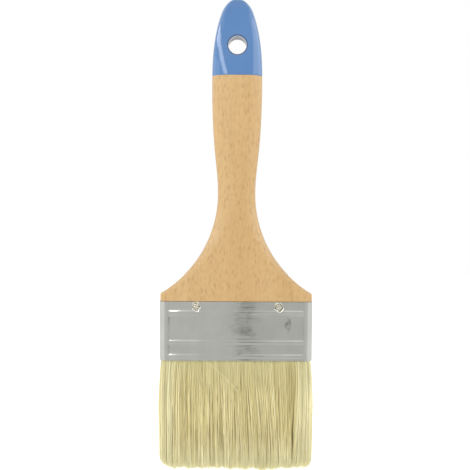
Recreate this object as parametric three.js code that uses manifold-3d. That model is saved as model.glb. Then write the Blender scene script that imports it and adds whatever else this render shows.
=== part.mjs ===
// A flat paint brush, held upright: handle up, bristles down.
// Millimetres. The origin is the centre of the hanging hole, +Z runs up to the handle's tip,
// X is the brush's width, Y its thickness, and -Y is the front face.
import * as THREE from 'three';
import { mergeVertices } from 'three/addons/utils/BufferGeometryUtils.js';
import Module from 'manifold-3d';

const wasm = await Module();
wasm.setup();

const CLEARANCE = 0.3;              // between pieces that touch on the real brush

// Handle. Depths are measured down from the tip.
const TIP_Z = 25;
const DIP_DEPTH = 40.8;
const COLLAR_HALF = { width: 39.85, thickness: 7.85 };
const SHOULDER_ROUND = 1.2;
const GRIP_EDGE = 8.5;              // how far in from the sides the grip's edges are rounded
const COLLAR_EDGE = 4;              // the same at the shoulders, round both ways
const EDGE_BLEND = [108, 150];      // depths between which one becomes the other
const TENON_HALF = { width: 39.2, thickness: 7.3 };
const TENON_LENGTH = 11;

// Half-widths and half-thicknesses against depth, as cubic curves from the tip through the belly
// and the neck to the shoulders.
const WIDTH_CURVES = [
  [[1.2, 0], [5.4, 0], [7.3, 4.7], [8, 6.3]],
  [[8, 6.3], [13.1, 19.3], [13.25, 34.7], [13.25, 43.7]],
  [[13.25, 43.7], [13.25, 80.4], [9.9, 88.4], [9.9, 102.7]],
  [[9.9, 102.7], [9.9, 119.4], [16.9, 140.6], [38.9, 154.7]],
];
const THICKNESS_CURVES = [
  [[1, 0], [4, 0], [5.6, 2], [5.9, 6.3]],
  [[5.9, 6.3], [6.3, 20], [7.5, 30], [7.5, 47.7]],
  [[7.5, 47.7], [7.5, 75], [6.8, 82], [6.8, 102.7]],
  [[6.8, 102.7], [6.8, 125], [7.85, 135], [7.85, 154.7]],
];
const CURVE_STEPS = [5, 6, 7, 10];

// Hanging hole and lacquer coat. The coat lines the hole.
const HOLE_RADIUS = 4.8;
const COAT = 0.25;
const COAT_GAP = 0.1;

// Ferrule
const FERRULE_TOP_Z = -134.4;
const FERRULE_HEIGHT = 30.8;
const FERRULE_HALF = { top: 40.15, bottom: 39.65, thickness: 8 };
const FERRULE_CORNER = 4.2;
const SHEET = 0.4;
const SEAM_WIDTH = 8;
const BEAD_END_X = 36;
const BEADS = [
  { z: -140, height: 2.6, rise: 0.3 },
  { z: -155.6, height: 3, rise: 0.5 },
  { z: -162.9, height: 3, rise: 0.5 },
];

// Nails, two on each face, each sunk in a dimple of the ferrule
const NAILS = [
  { name: 'nail_front_left', x: -20.9, z: -136.8, side: -1 },
  { name: 'nail_front_right', x: 22.4, z: -137.1, side: -1 },
  { name: 'nail_back_left', x: -25, z: -137, side: 1 },
  { name: 'nail_back_right', x: 18.2, z: -136.9, side: 1 },
];
const DIMPLE = { radius: 2.2, depth: 0.85 };
const NAIL_HEAD = { radius: 1.55, thickness: 0.55, sunk: 0.35 };
const NAIL_SHANK = { radius: 0.7, length: 9, point: 2 };

// Set, spacers and bristles
const RESIN_HEIGHT = 8.2;
const ROOT_DEPTH = 4.5;             // how far the bristle roots go up into the set
const SPACER_HALF_WIDTH = 38.4;
const SPACER_HEIGHT = 10;
const BRISTLES = [                  // the whole block: height, half-width, half-thickness, corner
  { z: -154.2, width: 38.4, thickness: 6.5, corner: 3 },
  { z: -157, width: 38.7, thickness: 6.9, corner: 3.2 },
  { z: -165.2, width: 38.9, thickness: 7.25, corner: 3.5 },
  { z: -168, width: 39.7, thickness: 7.4, corner: 3.5 },
  { z: -180.5, width: 40.4, thickness: 7.3, corner: 3.4 },
  { z: -188.7, width: 40.8, thickness: 7, corner: 3.3 },
  { z: -212.7, width: 40.5, thickness: 5.8, corner: 2.8 },
  { z: -217.7, width: 39.8, thickness: 5.4, corner: 2.6 },
  { z: -220.9, width: 38.2, thickness: 5.2, corner: 2.4 },
  { z: -222.5, width: 35.5, thickness: 5, corner: 2.2 },
];
const GAP_AT_MOUTH = { from: 1.6, to: 4.2 };   // the reservoirs between the rows, at |Y|
const GAP_AT_TIPS = { from: 1.7, to: 1.95 };

// The bristles bend about this line. The roots end around the outer radius, the tufts inside the inner one.
const FLEX_Z = -174;
const FLEX_RADIUS = { roots: 8.7, tufts: 8.4 };

const FERRULE_BOTTOM_Z = FERRULE_TOP_Z - FERRULE_HEIGHT;
const TENON_Z = FERRULE_TOP_Z - TENON_LENGTH;
const RESIN_TOP_Z = TENON_Z - CLEARANCE;
const RESIN_BOTTOM_Z = RESIN_TOP_Z - RESIN_HEIGHT;
const ROOT_TOP_Z = RESIN_BOTTOM_Z + ROOT_DEPTH;
const BEYOND = 5;                   // how far a cutter reaches past what it cuts
const PAST_ENDS = 1;                // how far the ferrule's inside is cut past its ends
const ACROSS = 2 * (FERRULE_HALF.top + BEYOND);   // the width of cutters that span the brush

const CORNER_STEPS = 5;
const ROUND_STEPS = 32;
const NAIL_SIDES = 12;
const BEAD_END_STEPS = 5;
const BEAD_SIDES = 24;

const MATERIALS = {
  beech: new THREE.MeshStandardMaterial({ color: 0xd9b482, roughness: 0.45, metalness: 0 }),
  lacquer: new THREE.MeshStandardMaterial({ color: 0x668dbd, roughness: 0.15, metalness: 0 }),
  tinplate: new THREE.MeshStandardMaterial({ color: 0xacaea8, roughness: 0.3, metalness: 1 }),
  steel: new THREE.MeshStandardMaterial({ color: 0xc8c4b4, roughness: 0.3, metalness: 1 }),
  resin: new THREE.MeshStandardMaterial({ color: 0xb98f4a, roughness: 0.3, metalness: 0 }),
  spacer: new THREE.MeshStandardMaterial({ color: 0xc9a877, roughness: 0.7, metalness: 0 }),
  bristle: new THREE.MeshStandardMaterial({ color: 0xcbbf8b, roughness: 0.6, metalness: 0 }),
};

// Solids

function solid(geometry) {
  const bare = geometry.index ? geometry.clone() : geometry;
  bare.deleteAttribute('normal');
  bare.deleteAttribute('uv');
  const welded = mergeVertices(bare, 1e-5);
  const mesh = new wasm.Mesh({
    numProp: 3,
    vertProperties: new Float32Array(welded.attributes.position.array),
    triVerts: new Uint32Array(welded.index.array),
  });
  return new wasm.Manifold(mesh);
}

function geometryOf(shape) {
  const mesh = shape.getMesh();
  const geometry = new THREE.BufferGeometry();
  geometry.setAttribute('position', new THREE.BufferAttribute(mesh.vertProperties, 3));
  geometry.setIndex(new THREE.BufferAttribute(mesh.triVerts, 1));
  return geometry;
}

function box(width, thickness, height, x, y, z) {
  return solid(new THREE.BoxGeometry(width, thickness, height).translate(x, y, z));
}

function cylinderAlongY(radius, length, x, z) {
  const geometry = new THREE.CylinderGeometry(radius, radius, length, ROUND_STEPS);
  return solid(geometry.translate(x, 0, z));
}

function cylinderAlongX(radius, length, z) {
  const geometry = new THREE.CylinderGeometry(radius, radius, length, ROUND_STEPS);
  return solid(geometry.rotateZ(Math.PI / 2).translate(0, 0, z));
}

// A profile of (y, z) points carried along X, centred on X = 0.
function slab(points, width) {
  const shape = new THREE.Shape(points.map(([y, z]) => new THREE.Vector2(y, z)));
  const geometry = new THREE.ExtrudeGeometry(shape, { depth: width, bevelEnabled: false });
  const turned = new THREE.Matrix4().makeBasis(
    new THREE.Vector3(0, 1, 0),
    new THREE.Vector3(0, 0, 1),
    new THREE.Vector3(1, 0, 0),
  );
  return solid(geometry.applyMatrix4(turned).translate(-width / 2, 0, 0));
}

// A rectangle of the given half-width and half-thickness with elliptical corners, counter-clockwise.
function roundedOutline({ width, thickness, cornerX, cornerY }) {
  const points = [];
  const corners = [[1, 1], [-1, 1], [-1, -1], [1, -1]];
  corners.forEach(([sideX, sideY], quarter) => {
    for (let step = 0; step <= CORNER_STEPS; step += 1) {
      const angle = (quarter + step / CORNER_STEPS) * Math.PI / 2;
      const x = sideX * (width - cornerX) + cornerX * Math.cos(angle);
      const y = sideY * (thickness - cornerY) + cornerY * Math.sin(angle);
      points.push([x, y]);
    }
  });
  return points;
}

// A solid through rounded outlines at falling heights: a cylinder whose rings are moved onto them.
function loft(stations) {
  const outlines = stations.map(roundedOutline);
  const sides = outlines[0].length;
  const spans = stations.length - 1;
  const geometry = new THREE.CylinderGeometry(1, 1, spans, sides, spans);
  const position = geometry.attributes.position;
  const ring = new THREE.Vector3();
  for (let i = 0; i < position.count; i += 1) {
    ring.fromBufferAttribute(position, i);
    const level = Math.round(spans / 2 - ring.y);
    const turn = Math.round(Math.atan2(ring.x, ring.z) / (2 * Math.PI) * sides + sides) % sides;
    const onRim = Math.hypot(ring.x, ring.z) > 0.5;
    const [x, y] = onRim ? outlines[level][turn] : [0, 0];
    position.setXYZ(i, x, y, stations[level].z);
  }
  return solid(geometry);
}

function band(top, bottom) {
  return loft([top, bottom]);
}

// Handle

function curvePoints(curves) {
  return curves.flatMap((controls, i) => {
    const vectors = controls.map(([size, depth]) => new THREE.Vector2(size, depth));
    const points = new THREE.CubicBezierCurve(...vectors).getPoints(CURVE_STEPS[i]);
    return i === 0 ? points : points.slice(1);
  });
}

function atDepth(points, depth) {
  const next = points.findIndex((point) => point.y >= depth);
  if (next <= 0) {
    return points[next === 0 ? 0 : points.length - 1].x;
  }
  const [above, below] = [points[next - 1], points[next]];
  return THREE.MathUtils.mapLinear(depth, above.y, below.y, above.x, below.x);
}

const widths = curvePoints(WIDTH_CURVES);
const thicknesses = curvePoints(THICKNESS_CURVES);

// The handle's outline at a depth, drawn in by inset all round.
function handleStation(depth, inset = 0) {
  const width = atDepth(widths, depth) - inset;
  const thickness = atDepth(thicknesses, depth) - inset;
  const blend = THREE.MathUtils.smoothstep(depth, ...EDGE_BLEND);
  const full = 0.94;                // leaves a narrow flat, so that no two corners meet in a point
  return {
    z: TIP_Z - inset - depth * (1 - inset / DIP_DEPTH),
    width,
    thickness,
    cornerX: THREE.MathUtils.lerp(Math.min(GRIP_EDGE, full * width), COLLAR_EDGE, blend),
    cornerY: THREE.MathUtils.lerp(full * thickness, COLLAR_EDGE, blend),
  };
}

function tipStations(inset) {
  const depths = widths.map((point) => point.y).filter((depth) => depth < DIP_DEPTH - 1);
  return [...depths, DIP_DEPTH].map((depth) => handleStation(depth, inset));
}

function collarStation(z) {
  return { z, ...COLLAR_HALF, cornerX: COLLAR_EDGE, cornerY: COLLAR_EDGE };
}

function tenonStation(z) {
  const corner = FERRULE_CORNER - SHEET - CLEARANCE;
  return { z, ...TENON_HALF, cornerX: corner, cornerY: corner };
}

function makeHandle() {
  const lower = widths.map((point) => point.y).filter((depth) => depth > DIP_DEPTH + 1);
  const shoulderZ = TIP_Z - lower.at(-1) - SHOULDER_ROUND;
  const rebateZ = FERRULE_TOP_Z + CLEARANCE;
  const wood = loft([
    ...tipStations(COAT + COAT_GAP),
    handleStation(DIP_DEPTH + COAT_GAP),
    ...lower.map((depth) => handleStation(depth)),
    collarStation(shoulderZ),
    collarStation(rebateZ),
    tenonStation(rebateZ),
    tenonStation(TENON_Z),
  ]);
  const holeRadius = HOLE_RADIUS + COAT + COAT_GAP;
  let shape = wood.subtract(cylinderAlongY(holeRadius, 2 * FERRULE_HALF.thickness, 0, 0));
  for (const nail of NAILS) {
    const dent = { radius: DIMPLE.radius + CLEARANCE, depth: DIMPLE.depth + CLEARANCE };
    shape = shape.subtract(dimple(nail, TENON_HALF.thickness, dent));
    shape = shape.subtract(nailHole(nail));
  }
  return shape;
}

function makeDippedTip() {
  const outside = loft(tipStations(0));
  const inner = tipStations(COAT);
  const inside = loft([...inner, { ...inner.at(-1), z: TIP_Z - DIP_DEPTH - BEYOND }]);
  const through = 2 * FERRULE_HALF.thickness;
  const hole = cylinderAlongY(HOLE_RADIUS, through, 0, 0);
  const lining = cylinderAlongY(HOLE_RADIUS + COAT, through, 0, 0);
  return outside.subtract(hole).subtract(inside.subtract(lining));
}

// Ferrule

function ferruleBand(inset, beyond) {
  const corner = FERRULE_CORNER - inset;
  const thickness = FERRULE_HALF.thickness - inset;
  const common = { thickness, cornerX: corner, cornerY: corner };
  const top = { z: FERRULE_TOP_Z + beyond, width: FERRULE_HALF.top - inset, ...common };
  const bottom = { z: FERRULE_BOTTOM_Z - beyond, width: FERRULE_HALF.bottom - inset, ...common };
  return band(top, bottom);
}

// One bead is a long round-ended bar, let into the face so that only its crown stands out.
function bead({ z, height, rise }, side, inset) {
  const radius = ((height / 2) ** 2 + rise ** 2) / (2 * rise);
  const length = 2 * (BEAD_END_X - height / 2);
  const geometry = new THREE.CapsuleGeometry(radius - inset, length, BEAD_END_STEPS, BEAD_SIDES);
  const y = side * (FERRULE_HALF.thickness + rise - radius);
  return solid(geometry.rotateZ(Math.PI / 2).translate(0, y, z));
}

function lathe(profile, sides) {
  const points = profile.map(([radius, height]) => new THREE.Vector2(radius, height));
  return new THREE.LatheGeometry(points, sides);
}

// Turns a piece made along +Y to face front or back, and moves it to its nail's place.
function atNail(geometry, nail, y) {
  const turn = nail.side > 0 ? 0 : Math.PI;
  return solid(geometry.rotateZ(turn).translate(nail.x, nail.side * y, nail.z));
}

// The bowl of a dimple in a face at |Y| = face: a shallow cap of a ball, with a wall above it.
function dimple(nail, face, { radius, depth }) {
  const rings = [0, 0.35, 0.7, 1];
  const bowl = rings.map((part) => [part * radius, depth * (part ** 2 - 1)]);
  return atNail(lathe([...bowl, [radius, BEYOND], [0, BEYOND]], NAIL_SIDES), nail, face);
}

function nailHole(nail) {
  const radius = NAIL_SHANK.radius + CLEARANCE;
  const bottom = -(NAIL_SHANK.length + 1);
  const hole = lathe([[0, bottom], [radius, bottom], [radius, BEYOND], [0, BEYOND]], NAIL_SIDES);
  return atNail(hole, nail, FERRULE_HALF.thickness);
}

function makeFerrule() {
  let outside = ferruleBand(0, 0);
  let inside = ferruleBand(SHEET, PAST_ENDS);
  for (const side of [-1, 1]) {
    for (const shape of BEADS) {
      outside = outside.add(bead(shape, side, 0));
      inside = inside.add(bead(shape, side, SHEET));
    }
  }
  const seamY = FERRULE_HALF.thickness;
  const seamZ = (FERRULE_TOP_Z + FERRULE_BOTTOM_Z) / 2;
  outside = outside.add(box(SEAM_WIDTH, 2 * SHEET, FERRULE_HEIGHT, 0, seamY, seamZ));
  for (const nail of NAILS) {
    outside = outside.subtract(dimple(nail, FERRULE_HALF.thickness, DIMPLE));
    inside = inside.subtract(dimple(nail, FERRULE_HALF.thickness - SHEET, DIMPLE));
  }
  let ferrule = outside.subtract(inside);
  for (const nail of NAILS) {
    ferrule = ferrule.subtract(nailHole(nail));
  }
  return ferrule;
}

// A nail along +Y, its head's underside at Y = 0
function makeNail() {
  const { radius, thickness } = NAIL_HEAD;
  const shank = NAIL_SHANK.radius;
  const profile = [
    [0, -NAIL_SHANK.length],
    [shank, -NAIL_SHANK.length + NAIL_SHANK.point],
    [shank, 0],
    [radius, 0],
    [radius, 0.6 * thickness],
    [0.8 * radius, 0.9 * thickness],
    [0, thickness],
  ];
  return solid(lathe(profile, NAIL_SIDES));
}

// Set, spacers and bristles

function bristleBlock() {
  const rows = BRISTLES.map(({ z, width, thickness, corner }) => (
    { z, width, thickness, cornerX: corner, cornerY: corner }
  ));
  return loft([{ ...rows[0], z: ROOT_TOP_Z }, ...rows]);
}

// The room of one row: -1 front, 0 middle, 1 back. Spread widens it all round.
function rowSpace(row, spread = 0) {
  const topZ = ROOT_TOP_Z + BEYOND;
  const bottomZ = BRISTLES.at(-1).z - BEYOND;
  const atMouth = row === 0 ? GAP_AT_MOUTH.from : GAP_AT_MOUTH.to;
  const atTips = row === 0 ? GAP_AT_TIPS.from : GAP_AT_TIPS.to;
  const inner = [[atMouth, topZ], [atMouth, FERRULE_BOTTOM_Z], [atTips, bottomZ]];
  if (row === 0) {
    const near = inner.map(([y, z]) => [y + spread, z]);
    const far = near.map(([y, z]) => [-y, z]).reverse();
    return slab([...near, ...far], ACROSS);
  }
  const outer = FERRULE_HALF.thickness + BEYOND;
  const side = inner.map(([y, z]) => [row * (y - spread), z]);
  return slab([...side, [row * outer, bottomZ], [row * outer, topZ]], ACROSS);
}

// The room below the flex line, with a round top of the given radius about that line.
function roomBelowFlex(radius) {
  const depth = FLEX_Z - BRISTLES.at(-1).z + BEYOND;
  const below = box(ACROSS, ACROSS, depth, 0, 0, FLEX_Z - depth / 2);
  return below.add(cylinderAlongX(radius, ACROSS, FLEX_Z));
}

function makeTuft(row) {
  return bristleBlock().intersect(rowSpace(row)).intersect(roomBelowFlex(FLEX_RADIUS.tufts));
}

function makeRoot(row) {
  return bristleBlock().intersect(rowSpace(row)).subtract(roomBelowFlex(FLEX_RADIUS.roots));
}

function makeResin() {
  const blank = band(tenonStation(RESIN_TOP_Z), tenonStation(RESIN_BOTTOM_Z));
  const { width, thickness, corner } = BRISTLES[0];
  const pocket = {
    width: width + CLEARANCE,
    thickness: thickness + CLEARANCE,
    cornerX: corner + CLEARANCE,
    cornerY: corner + CLEARANCE,
  };
  const roots = band({ ...pocket, z: ROOT_TOP_Z + CLEARANCE }, { ...pocket, z: RESIN_BOTTOM_Z - BEYOND });
  let shape = blank;
  for (const row of [-1, 0, 1]) {
    shape = shape.subtract(roots.intersect(rowSpace(row, CLEARANCE)));
  }
  return shape;
}

function makeSpacer(side) {
  const inner = GAP_AT_MOUTH.from + CLEARANCE;
  const outer = GAP_AT_MOUTH.to - CLEARANCE;
  const z = RESIN_BOTTOM_Z - CLEARANCE - SPACER_HEIGHT / 2;
  const y = side * (inner + outer) / 2;
  return box(2 * SPACER_HALF_WIDTH, outer - inner, SPACER_HEIGHT, 0, y, z);
}

// Assembly

const brush = new THREE.Group();

function addPiece(name, shape, material) {
  const mesh = new THREE.Mesh(geometryOf(shape), material);
  mesh.name = name;
  brush.add(mesh);
  return mesh;
}

addPiece('handle', makeHandle(), MATERIALS.beech);
addPiece('dipped_tip', makeDippedTip(), MATERIALS.lacquer);
addPiece('ferrule', makeFerrule(), MATERIALS.tinplate);

for (const nail of NAILS) {
  const mesh = addPiece(nail.name, makeNail(), MATERIALS.steel);
  const headY = nail.side * (FERRULE_HALF.thickness - NAIL_HEAD.sunk);
  mesh.position.set(nail.x, headY, nail.z);
  mesh.rotation.z = nail.side > 0 ? 0 : Math.PI;
}

addPiece('resin_set', makeResin(), MATERIALS.resin);
addPiece('spacer_front', makeSpacer(-1), MATERIALS.spacer);
addPiece('spacer_back', makeSpacer(1), MATERIALS.spacer);

const ROWS = { front: -1, middle: 0, back: 1 };
for (const [name, row] of Object.entries(ROWS)) {
  addPiece(`bristle_root_${name}`, makeRoot(row), MATERIALS.bristle);
  addPiece(`bristle_tuft_${name}`, makeTuft(row), MATERIALS.bristle);
}

export default brush;
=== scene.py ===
"""A flat paint brush with a beech handle, a blue dipped tip, a tinplate ferrule and pale bristles.

Lengths in this script are millimetres in the model's frame: origin at the centre of the hanging
hole, +Z up the handle, -Y out of the front face. They are turned into metres as each mesh is made.
"""

import math

import bpy
import bmesh
import numpy as np
from mathutils import Matrix, Vector, noise


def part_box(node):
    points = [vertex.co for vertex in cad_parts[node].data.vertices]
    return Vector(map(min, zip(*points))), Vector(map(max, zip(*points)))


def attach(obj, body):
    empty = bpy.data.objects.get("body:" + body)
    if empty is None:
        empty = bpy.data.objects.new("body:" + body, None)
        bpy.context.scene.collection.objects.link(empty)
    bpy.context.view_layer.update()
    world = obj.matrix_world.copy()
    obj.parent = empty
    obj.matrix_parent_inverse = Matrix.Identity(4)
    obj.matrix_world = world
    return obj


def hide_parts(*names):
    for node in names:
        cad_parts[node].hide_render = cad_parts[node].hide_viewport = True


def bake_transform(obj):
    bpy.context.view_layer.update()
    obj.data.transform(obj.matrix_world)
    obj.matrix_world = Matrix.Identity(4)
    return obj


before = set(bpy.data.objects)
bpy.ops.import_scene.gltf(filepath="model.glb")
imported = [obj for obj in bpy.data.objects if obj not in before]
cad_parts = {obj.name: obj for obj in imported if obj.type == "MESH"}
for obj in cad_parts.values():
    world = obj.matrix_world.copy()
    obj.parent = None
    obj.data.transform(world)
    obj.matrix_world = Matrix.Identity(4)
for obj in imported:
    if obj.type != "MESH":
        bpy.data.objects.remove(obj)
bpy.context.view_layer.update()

MM = 0.001
BODY = "handle_and_ferrule"


def node_box(name):
    """Lowest and highest corner of a CAD node, in millimetres."""
    low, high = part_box(name)
    return np.array(low) / MM, np.array(high) / MM


# ---------------------------------------------------------------- driving dimensions

TIP_Z = node_box("dipped_tip")[1][2]
DIP_Z = node_box("dipped_tip")[0][2]
TENON_Z = node_box("handle")[0][2]
FERRULE_BOTTOM, FERRULE_TOP = [corner[2] for corner in node_box("ferrule")]
RESIN_BOTTOM = node_box("resin_set")[0][2]
TIPS_Z = node_box("bristle_tuft_middle")[0][2]

DIP_DEPTH = TIP_Z - DIP_Z
HOLE_RADIUS = 4.8
CUTTER_REACH = 12.0                    # well past the handle's faces
COAT = 0.25
COAT_GAP = 0.08
EDGE_WAVE = 0.28                       # of the lacquer's lower edge, up and down
COLLAR = (39.85, 7.85)                 # half-width and half-thickness of the wood above the ferrule
COLLAR_EDGE = 4.0
SHOULDER_ROUND = 1.2
TENON = (39.2, 7.3)
TENON_EDGE = 3.2

# Half-widths and half-thicknesses against depth below the tip, as cubic curves
WIDTH_CURVES = [
    [(1.0, 0.15), (4.5, 0.15), (7.1, 4.4), (8, 6.3)],
    [(8, 6.3), (13.1, 19.3), (13.25, 34.7), (13.25, 43.7)],
    [(13.25, 43.7), (13.25, 80.4), (9.9, 88.4), (9.9, 102.7)],
    [(9.9, 102.7), (9.9, 119.4), (16.9, 140.6), (38.9, 154.7)],
]
THICKNESS_CURVES = [
    [(1, 0), (4, 0), (5.6, 2), (5.9, 6.3)],
    [(5.9, 6.3), (6.3, 20), (7.5, 30), (7.5, 47.7)],
    [(7.5, 47.7), (7.5, 75), (6.8, 82), (6.8, 102.7)],
    [(6.8, 102.7), (6.8, 125), (7.85, 135), (7.85, 154.7)],
]
SHOULDER_WIDTH, SHOULDER_DEPTH = WIDTH_CURVES[-1][-1]
EDGE_AT_TIP = 2.0                      # how far in from the sides the edges are rounded
EDGE_AT_GRIP = 8.8
GRIP_DEPTH = 45.0                      # depth from which the grip's edge stays the same
EDGE_BLEND = (108.0, 150.0)            # depths between which it becomes the collar's edge
MOST_EDGE = 0.94                       # the largest share of a half-width that may be rounded
DOME_DEPTH = 12.0                      # the round top of the tip, where the rings lie closer
DOME_RINGS = 26
RING_STEP = 0.8

FERRULE_HALF_TOP = 40.15
FERRULE_HALF_BOTTOM = 39.9
FERRULE_HALF_THICKNESS = 8.0
FERRULE_CORNER = 4.2
SHEET = 0.4
SEAM_HALF_WIDTH = 4.0
BEAD_END_X = 36.0
BEADS = [                              # depth below the ferrule's top, half-height, rise, share left midway
    (5.6, 1.4, 0.165, 0.1),
    (21.2, 1.6, 0.185, 0.35),
    (28.5, 1.6, 0.185, 0.35),
]
GROOVE = (1.15, 0.9, 0.09)             # under each bead: distance from its centre, half-height, depth
PANEL_EDGE_X = 36.2                    # where the face turns into the rounded side
DENT_CENTRE = (24.0, FERRULE_TOP - 12.0)
DENT_RADIUS = (5.4, 7.5)
DENT_DEPTH = 0.15
NAILS = ["nail_front_left", "nail_front_right", "nail_back_left", "nail_back_right"]
NAIL_HEAD_RADIUS = 1.55
NAIL_HEAD_THICKNESS = 0.55
NAIL_SHANK_RADIUS = 0.7
NAIL_LENGTH = 9.0
NAIL_CUT_PITCH = 1.3                   # of the cross-cut pattern on the head
NAIL_CUT_DEPTH = 0.42
DIMPLE_RADIUS = 2.3
DIMPLE_DEPTH = 0.65

CORNER_STEPS = 14                      # points round each corner of the handle's outline
FACE_STEPS = 20
SIDE_STEPS = 3


# ---------------------------------------------------------------- mesh helpers

def add_object(name, points, faces):
    """A smooth-shaded mesh from points in millimetres."""
    mesh = bpy.data.meshes.new(name)
    mesh.from_pydata((np.asarray(points, float) * MM).tolist(), [], faces)
    mesh.polygons.foreach_set("use_smooth", [True] * len(mesh.polygons))
    mesh.update()
    obj = bpy.data.objects.new(name, mesh)
    bpy.context.scene.collection.objects.link(obj)
    return obj


def apply_modifiers(obj):
    """Puts the modified shape in place of the object's mesh."""
    graph = bpy.context.evaluated_depsgraph_get()
    mesh = bpy.data.meshes.new_from_object(obj.evaluated_get(graph))
    obj.modifiers.clear()
    old = obj.data
    obj.data = mesh
    bpy.data.meshes.remove(old)


def cut(obj, tool):
    """Cuts obj by tool and removes the tool."""
    modifier = obj.modifiers.new("cut", "BOOLEAN")
    modifier.operation = "DIFFERENCE"
    modifier.solver = "EXACT"
    modifier.object = tool
    bpy.context.view_layer.update()
    apply_modifiers(obj)
    bpy.data.objects.remove(tool)


def even_normals(obj, angle=40):
    """Smooth shading that keeps edges sharper than the angle."""
    mesh = obj.data
    bm = bmesh.new()
    bm.from_mesh(mesh)
    bmesh.ops.remove_doubles(bm, verts=bm.verts, dist=1e-7)
    bmesh.ops.dissolve_degenerate(bm, edges=bm.edges, dist=1e-7)
    limit = math.radians(angle)
    for edge in bm.edges:
        edge.smooth = len(edge.link_faces) == 2 and edge.calc_face_angle(0) < limit
    bm.to_mesh(mesh)
    bm.free()
    mesh.polygons.foreach_set("use_smooth", [True] * len(mesh.polygons))
    weighted = obj.modifiers.new("even shading", "WEIGHTED_NORMAL")
    weighted.keep_sharp = True
    weighted.weight = 60
    return obj


def rounded_outline(width, thickness, edge_x, edge_y):
    """Points round a rectangle with elliptical corners, counter-clockwise, with its flats divided."""
    quarter = np.linspace(0, math.pi / 2, CORNER_STEPS, endpoint=False)
    points = []
    for turn, (sx, sy) in enumerate([(1, 1), (-1, 1), (-1, -1), (1, -1)]):
        cx, cy = sx * (width - edge_x), sy * (thickness - edge_y)
        angles = quarter + turn * math.pi / 2
        points += [(cx + edge_x * math.cos(a), cy + edge_y * math.sin(a)) for a in angles]
        last = angles[-1] + math.pi / 2 / CORNER_STEPS
        start = np.array([cx + edge_x * math.cos(last), cy + edge_y * math.sin(last)])
        across = turn % 2 == 0
        run = (-2 * sx * (width - edge_x), 0) if across else (0, -2 * sy * (thickness - edge_y))
        steps = FACE_STEPS if across else SIDE_STEPS
        points += [tuple(start + np.array(run) * k / steps) for k in range(steps)]
    return points


def loft(name, rings):
    """A closed mesh through rings of points from the top down, all with as many points (x, y, z)."""
    count = len(rings[0])
    points = [point for ring in rings for point in ring]
    faces = []
    for level in range(len(rings) - 1):
        for k in range(count):
            nxt = (k + 1) % count
            a, b = level * count + k, level * count + nxt
            faces.append((a, a + count, b + count, b))
    faces.append(tuple(range(count)))
    faces.append(tuple(reversed(range((len(rings) - 1) * count, len(rings) * count))))
    return add_object(name, points, faces)


def revolved(name, profile, sides, place):
    """A closed mesh turned from a profile of (radius, height) that starts and ends on its axis.

    place turns a radius, height and angle into a point.
    """
    angles = np.arange(sides) * 2 * math.pi / sides
    points = [place(0, profile[0][1], 0)]
    for radius, height in profile[1:-1]:
        points += [place(radius, height, a) for a in angles]
    points.append(place(0, profile[-1][1], 0))
    faces = []
    for k in range(sides):
        nxt = (k + 1) % sides
        faces.append((0, 1 + nxt, 1 + k))
        for ring in range(len(profile) - 3):
            a, b = 1 + ring * sides + k, 1 + ring * sides + nxt
            faces.append((a, b, b + sides, a + sides))
        last = 1 + (len(profile) - 3) * sides
        faces.append((last + k, last + nxt, len(points) - 1))
    return add_object(name, points, faces)


def along_y(x, z):
    """Places a turned piece with its axis along Y."""
    return lambda radius, height, a: (x + radius * math.sin(a), height, z + radius * math.cos(a))


def smoothstep(start, end, value):
    """0 up to start and 1 from end on, eased between. End may also be the lower of the two."""
    t = np.clip((value - start) / (end - start), 0, 1)
    return t * t * (3 - 2 * t)


# ---------------------------------------------------------------- handle

def sampled(curves):
    """Points along cubic curves that are given by their four controls each."""
    points = []
    t = np.linspace(0, 1, 60)[:, None]
    for controls in curves:
        p = np.array(controls, float)
        points.append((1 - t) ** 3 * p[0] + 3 * (1 - t) ** 2 * t * p[1]
                      + 3 * (1 - t) * t ** 2 * p[2] + t ** 3 * p[3])
    return np.vstack(points)


WIDTHS = sampled(WIDTH_CURVES)
THICKNESSES = sampled(THICKNESS_CURVES)


def handle_ring(depth, inset=0.0, z=None):
    """The handle's outline at a depth below the tip, drawn in by inset."""
    width = np.interp(depth, WIDTHS[:, 1], WIDTHS[:, 0]) - inset
    thickness = np.interp(depth, THICKNESSES[:, 1], THICKNESSES[:, 0]) - inset
    edge = EDGE_AT_TIP + (EDGE_AT_GRIP - EDGE_AT_TIP) * min(depth / GRIP_DEPTH, 1)
    blend = smoothstep(*EDGE_BLEND, depth)
    edge_x = (1 - blend) * min(edge, MOST_EDGE * width) + blend * COLLAR_EDGE
    edge_y = (1 - blend) * MOST_EDGE * thickness + blend * COLLAR_EDGE
    if z is None:
        z = TIP_Z - inset - depth * (1 - inset / DIP_DEPTH)
    return [(x, y, z) for x, y in rounded_outline(width, thickness, edge_x, edge_y)]


def tip_depths():
    """Depths of the rings down to just above the lacquer's edge."""
    dome = DOME_DEPTH * (np.arange(0, DOME_RINGS) / DOME_RINGS) ** 2
    return np.concatenate([dome, np.arange(DOME_DEPTH, DIP_DEPTH - 0.5, RING_STEP)])


def collar_ring(width, thickness, z, edge=COLLAR_EDGE):
    """The outline of the collar or the tenon at a height."""
    return [(x, y, z) for x, y in rounded_outline(width, thickness, edge, edge)]


def hole_cutter(name, radius, reach, fillet=0.0):
    """A cylinder along Y through the hanging hole. With a fillet it flares at the faces, at |Y| = reach."""
    beyond = 3.0
    half = [(radius, reach + beyond)]
    if fillet:
        arc = np.radians(np.linspace(0, 62, 9))
        half = [(radius + fillet * (1 - math.cos(a)), reach - fillet + fillet * math.sin(a)) for a in arc]
        half.append((half[-1][0] + beyond * math.tan(arc[-1]), half[-1][1] + beyond))
    lower = [(r, -h) for r, h in reversed(half)]
    profile = [(0, lower[0][1])] + lower + half + [(0, half[-1][1])]
    return revolved(name, profile, 96, along_y(0, 0))


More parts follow.
